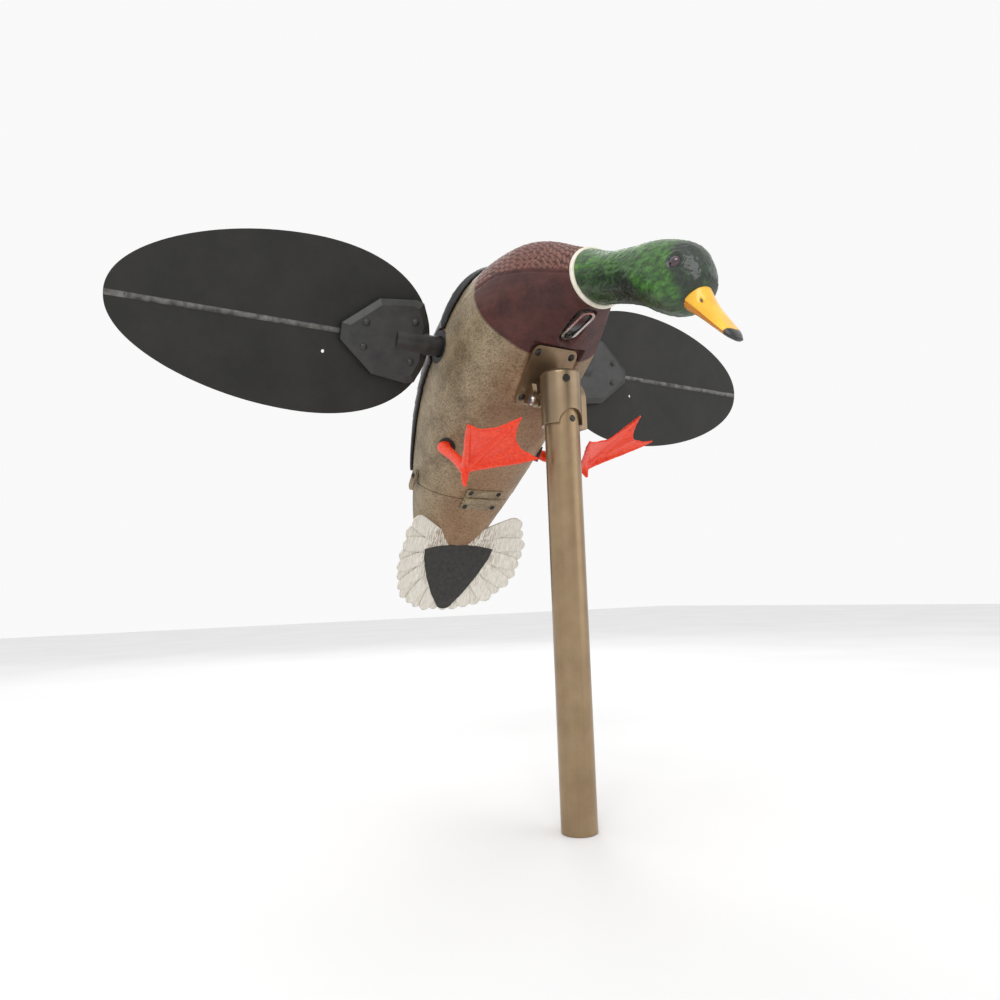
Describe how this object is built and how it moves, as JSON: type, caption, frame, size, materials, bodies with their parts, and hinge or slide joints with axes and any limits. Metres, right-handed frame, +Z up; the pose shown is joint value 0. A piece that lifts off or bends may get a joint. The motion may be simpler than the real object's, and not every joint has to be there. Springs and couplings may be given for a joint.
{
  "type": "motion wing decoy",
  "caption": "Drake mallard decoy with motor-driven spinning wings, plug-in feet and hinged tail hatch, on a tilting bracket that drops over a tubular pole.",
  "frame": {"origin": "centre of the pole section's lower end", "axes": "+Z up the pole, -Y the way the duck faces, +X the duck's left"},
  "size_m": [0.731, 0.4522, 0.5367],
  "materials": {
    "pole_paint": "satin tan brown paint",
    "bracket_paint": "satin tan brown paint",
    "dark_steel": "blackened",
    "steel": "plated",
    "body_paint": "hand painted grey brown flanks, chestnut breast",
    "saddle_paint": "painted black and grey brown feathers",
    "ring_paint": "cream paint",
    "head_paint": "mottled iridescent green paint",
    "bill_paint": "yellow paint",
    "eye_gloss": "glossy",
    "switch_trim": "clear boot over chrome",
    "switch_black": "gloss",
    "wing_paint": "fine textured black",
    "moulded_black": "satin moulded",
    "seal_rubber": "matte",
    "magnet": "ground",
    "copper_core": "wound copper on steel",
    "grey_plastic": "moulded",
    "battery_case": "moulded",
    "board": "fibre board",
    "board_black": "moulded",
    "lead_red": "soft vinyl",
    "fan_paint": "cream paint",
    "coverts_paint": "flat black paint",
    "hinge_brass": "satin",
    "foot_orange": "bright orange"
  },
  "bodies": {
    "pole": {"pole_section": "pole_paint", "button_spring": "dark_steel"},
    "snap_button": {"snap_button": "dark_steel"},
    "socket": {"socket_barrel": "bracket_paint"},
    "detent_button": {"detent_button": "dark_steel"},
    "lock_lever": {"lock_lever": "bracket_paint"},
    "decoy": {"mount_plate": "bracket_paint", "mount_screws": "dark_steel", "pivot_pin": "steel", "back_shell": "body_paint", "belly_shell": "body_paint", "wing_saddle": "saddle_paint", "neck_ring": "ring_paint", "head_shell": "head_paint", "bill": "bill_paint", "eyes": "eye_gloss", "switch_bezel": "switch_trim", "leg_sockets": "seal_rubber", "motor_can": "steel", "motor_magnets": "magnet", "motor_cradle": "grey_plastic", "cradle_screws": "dark_steel", "shaft_bearings": "steel", "shaft_seals": "seal_rubber", "battery": "battery_case", "battery_tray": "grey_plastic", "battery_strap": "grey_plastic", "control_board": "board", "board_parts": "board_black", "board_posts": "grey_plastic", "battery_lead": "lead_red", "motor_lead": "lead_red", "switch_lead": "lead_red", "hinge_leaf_body": "body_paint", "hinge_pin": "hinge_brass", "hinge_screws_body": "dark_steel", "latch_screw": "dark_steel"},
    "rocker": {"switch_rocker": "switch_black"},
    "rotor": {"motor_shaft": "steel", "motor_armature": "copper_core", "wing_hubs": "moulded_black", "hub_screws": "dark_steel"},
    "tail_hatch": {"tail_shell": "body_paint", "tail_fan": "fan_paint", "tail_coverts": "coverts_paint", "hinge_leaf_tail": "body_paint", "hinge_screws_tail": "dark_steel"},
    "tail_latch": {"latch_tab": "body_paint"},
    "wing_right": {"wing_sheet_right": "wing_paint", "wing_bracket_right": "moulded_black", "wing_backplate_right": "moulded_black", "wing_rivets_right": "moulded_black", "wing_stem_right": "moulded_black"},
    "foot_right": {"foot_right": "foot_orange"},
    "wing_left": {"wing_sheet_left": "wing_paint", "wing_bracket_left": "moulded_black", "wing_backplate_left": "moulded_black", "wing_rivets_left": "moulded_black", "wing_stem_left": "moulded_black"},
    "foot_left": {"foot_left": "foot_orange"}
  },
  "joints": [
    {"name": "snap_press", "type": "slide", "parent": "pole", "child": "snap_button", "axis": [0, 1, 0], "range_m": [0, 0.0022], "stiffness_N_per_m": 900, "springref_m": -0.001},
    {"name": "socket_lift", "type": "slide", "parent": "pole", "child": "socket", "axis": [0, 0, 1], "range_m": [0, 0.05]},
    {"name": "decoy_tilt", "type": "hinge", "parent": "socket", "child": "decoy", "pos_m": [0, 0.027, 0.382], "axis": [1, 0, 0], "range_deg": [-10, 25]},
    {"name": "lever_swing", "type": "hinge", "parent": "socket", "child": "lock_lever", "pos_m": [0.0245, 0.027, 0.382], "axis": [1, 0, 0], "range_deg": [0, 24]},
    {"name": "detent_press", "type": "slide", "parent": "socket", "child": "detent_button", "axis": [0.3401, 0.9404, 0], "range_m": [0, 0.0018], "stiffness_N_per_m": 900, "springref_m": -0.001},
    {"name": "rocker_tip", "type": "hinge", "parent": "decoy", "child": "rocker", "pos_m": [0, -0.02845, 0.44092], "axis": [1, 0, 0], "range_deg": [-4, 4]},
    {"name": "wing_spin", "type": "hinge", "parent": "decoy", "child": "rotor", "pos_m": [0, 0.107, 0.45], "axis": [1, 0, 0], "continuous": true},
    {"name": "wing_pull_right", "type": "slide", "parent": "rotor", "child": "wing_right", "axis": [-1, 0, 0], "range_m": [0, 0.02]},
    {"name": "wing_pull_left", "type": "slide", "parent": "rotor", "child": "wing_left", "axis": [1, 0, 0], "range_m": [0, 0.02]},
    {"name": "hatch_open", "type": "hinge", "parent": "decoy", "child": "tail_hatch", "pos_m": [0, 0.14414, 0.30167], "axis": [-1, 0, 0], "range_deg": [0, 70]},
    {"name": "latch_turn", "type": "hinge", "parent": "decoy", "child": "tail_latch", "pos_m": [-0.0578, 0.1845, 0.332], "axis": [1, 0, 0], "range_deg": [-90, 0]},
    {"name": "foot_turn_right", "type": "hinge", "parent": "decoy", "child": "foot_right", "pos_m": [-0.056, 0.117, 0.352], "axis": [-0.7789, -0.4993, -0.3795], "range_deg": [-6, 20]},
    {"name": "foot_turn_left", "type": "hinge", "parent": "decoy", "child": "foot_left", "pos_m": [0.056, 0.117, 0.352], "axis": [0.7789, -0.4993, -0.3795], "range_deg": [-20, 6]}
  ]
}
